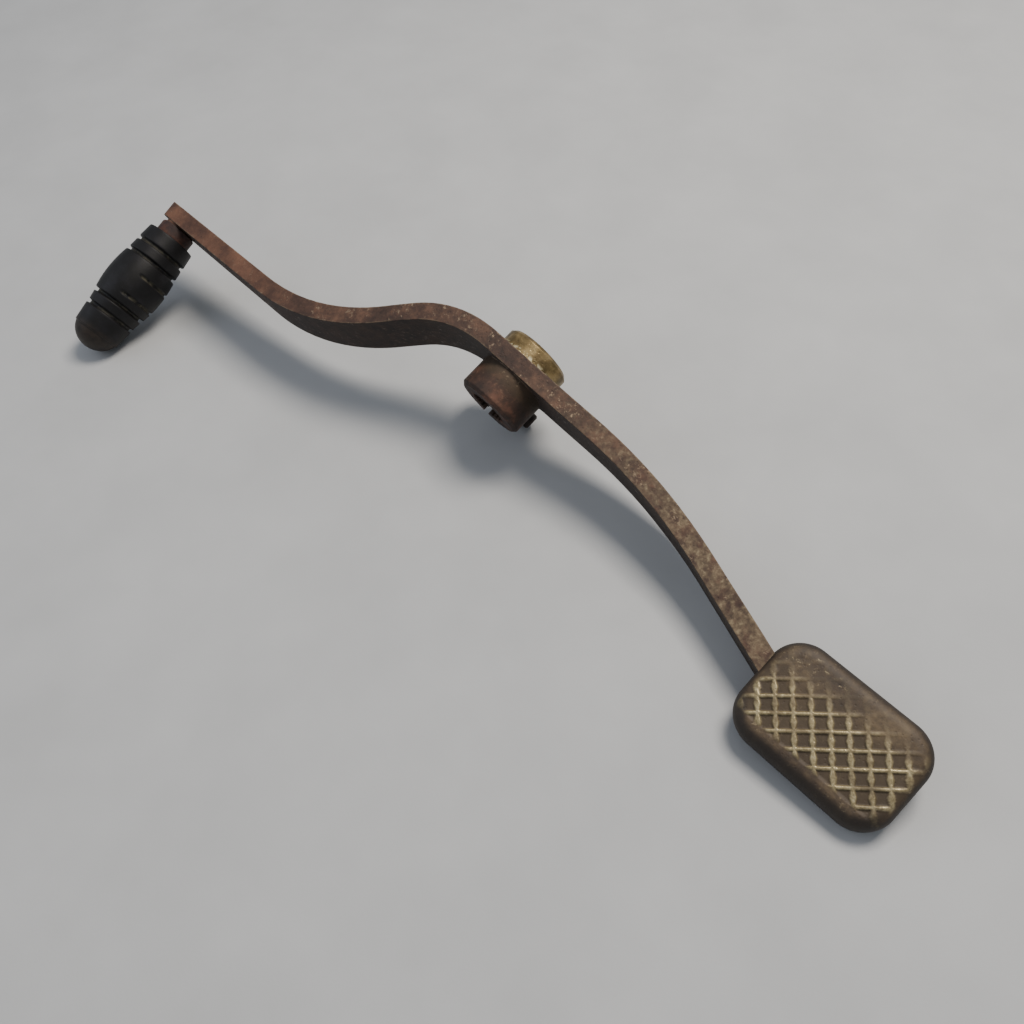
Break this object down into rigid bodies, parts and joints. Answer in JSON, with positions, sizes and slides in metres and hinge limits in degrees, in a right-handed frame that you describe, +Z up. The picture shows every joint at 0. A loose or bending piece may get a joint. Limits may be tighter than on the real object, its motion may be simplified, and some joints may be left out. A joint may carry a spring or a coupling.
{
  "type": "heel and toe gear change lever",
  "caption": "Cranked flat-bar rocker lever with a clamped serrated boss, a ribbed rubber toe peg and a knurled heel pad, worn and rusty.",
  "frame": {"origin": "centre of the boss's serrated bore, on its axis at the arm's centre plane", "axes": "+Z up with the loose lever lying on a flat surface, +X along the lever from the toe peg to the heel pad, +Y towards the engine side"},
  "size_m": [0.3408, 0.0891, 0.047],
  "materials": {
    "rusty_forging": "rusted forging, worn bright in specks",
    "pin_steel": "rusted turned steel",
    "black_rubber": "aged black rubber, dusty grooves",
    "worn_pad": "worn knurled steel, olive brown with brassy ridges",
    "weld_steel": "rusted weld bead",
    "dark_fastener": "dark rusted fastener"
  },
  "bodies": {
    "lever": {"lever_arm": "rusty_forging", "toe_pin": "pin_steel", "heel_pad": "worn_pad", "pad_weld_inner": "weld_steel", "pad_weld_outer": "weld_steel", "clamp_bolt": "dark_fastener", "plain_washer": "dark_fastener", "spring_washer": "dark_fastener", "clamp_nut": "dark_fastener"},
    "rubber": {"peg_rubber": "black_rubber"}
  },
  "joints": [
    {"name": "rubber_turn", "type": "hinge", "parent": "lever", "child": "rubber", "pos_m": [-0.16291, -0.0438, -0.00956], "axis": [0, 0.9326, 0.3608], "continuous": true}
  ]
}
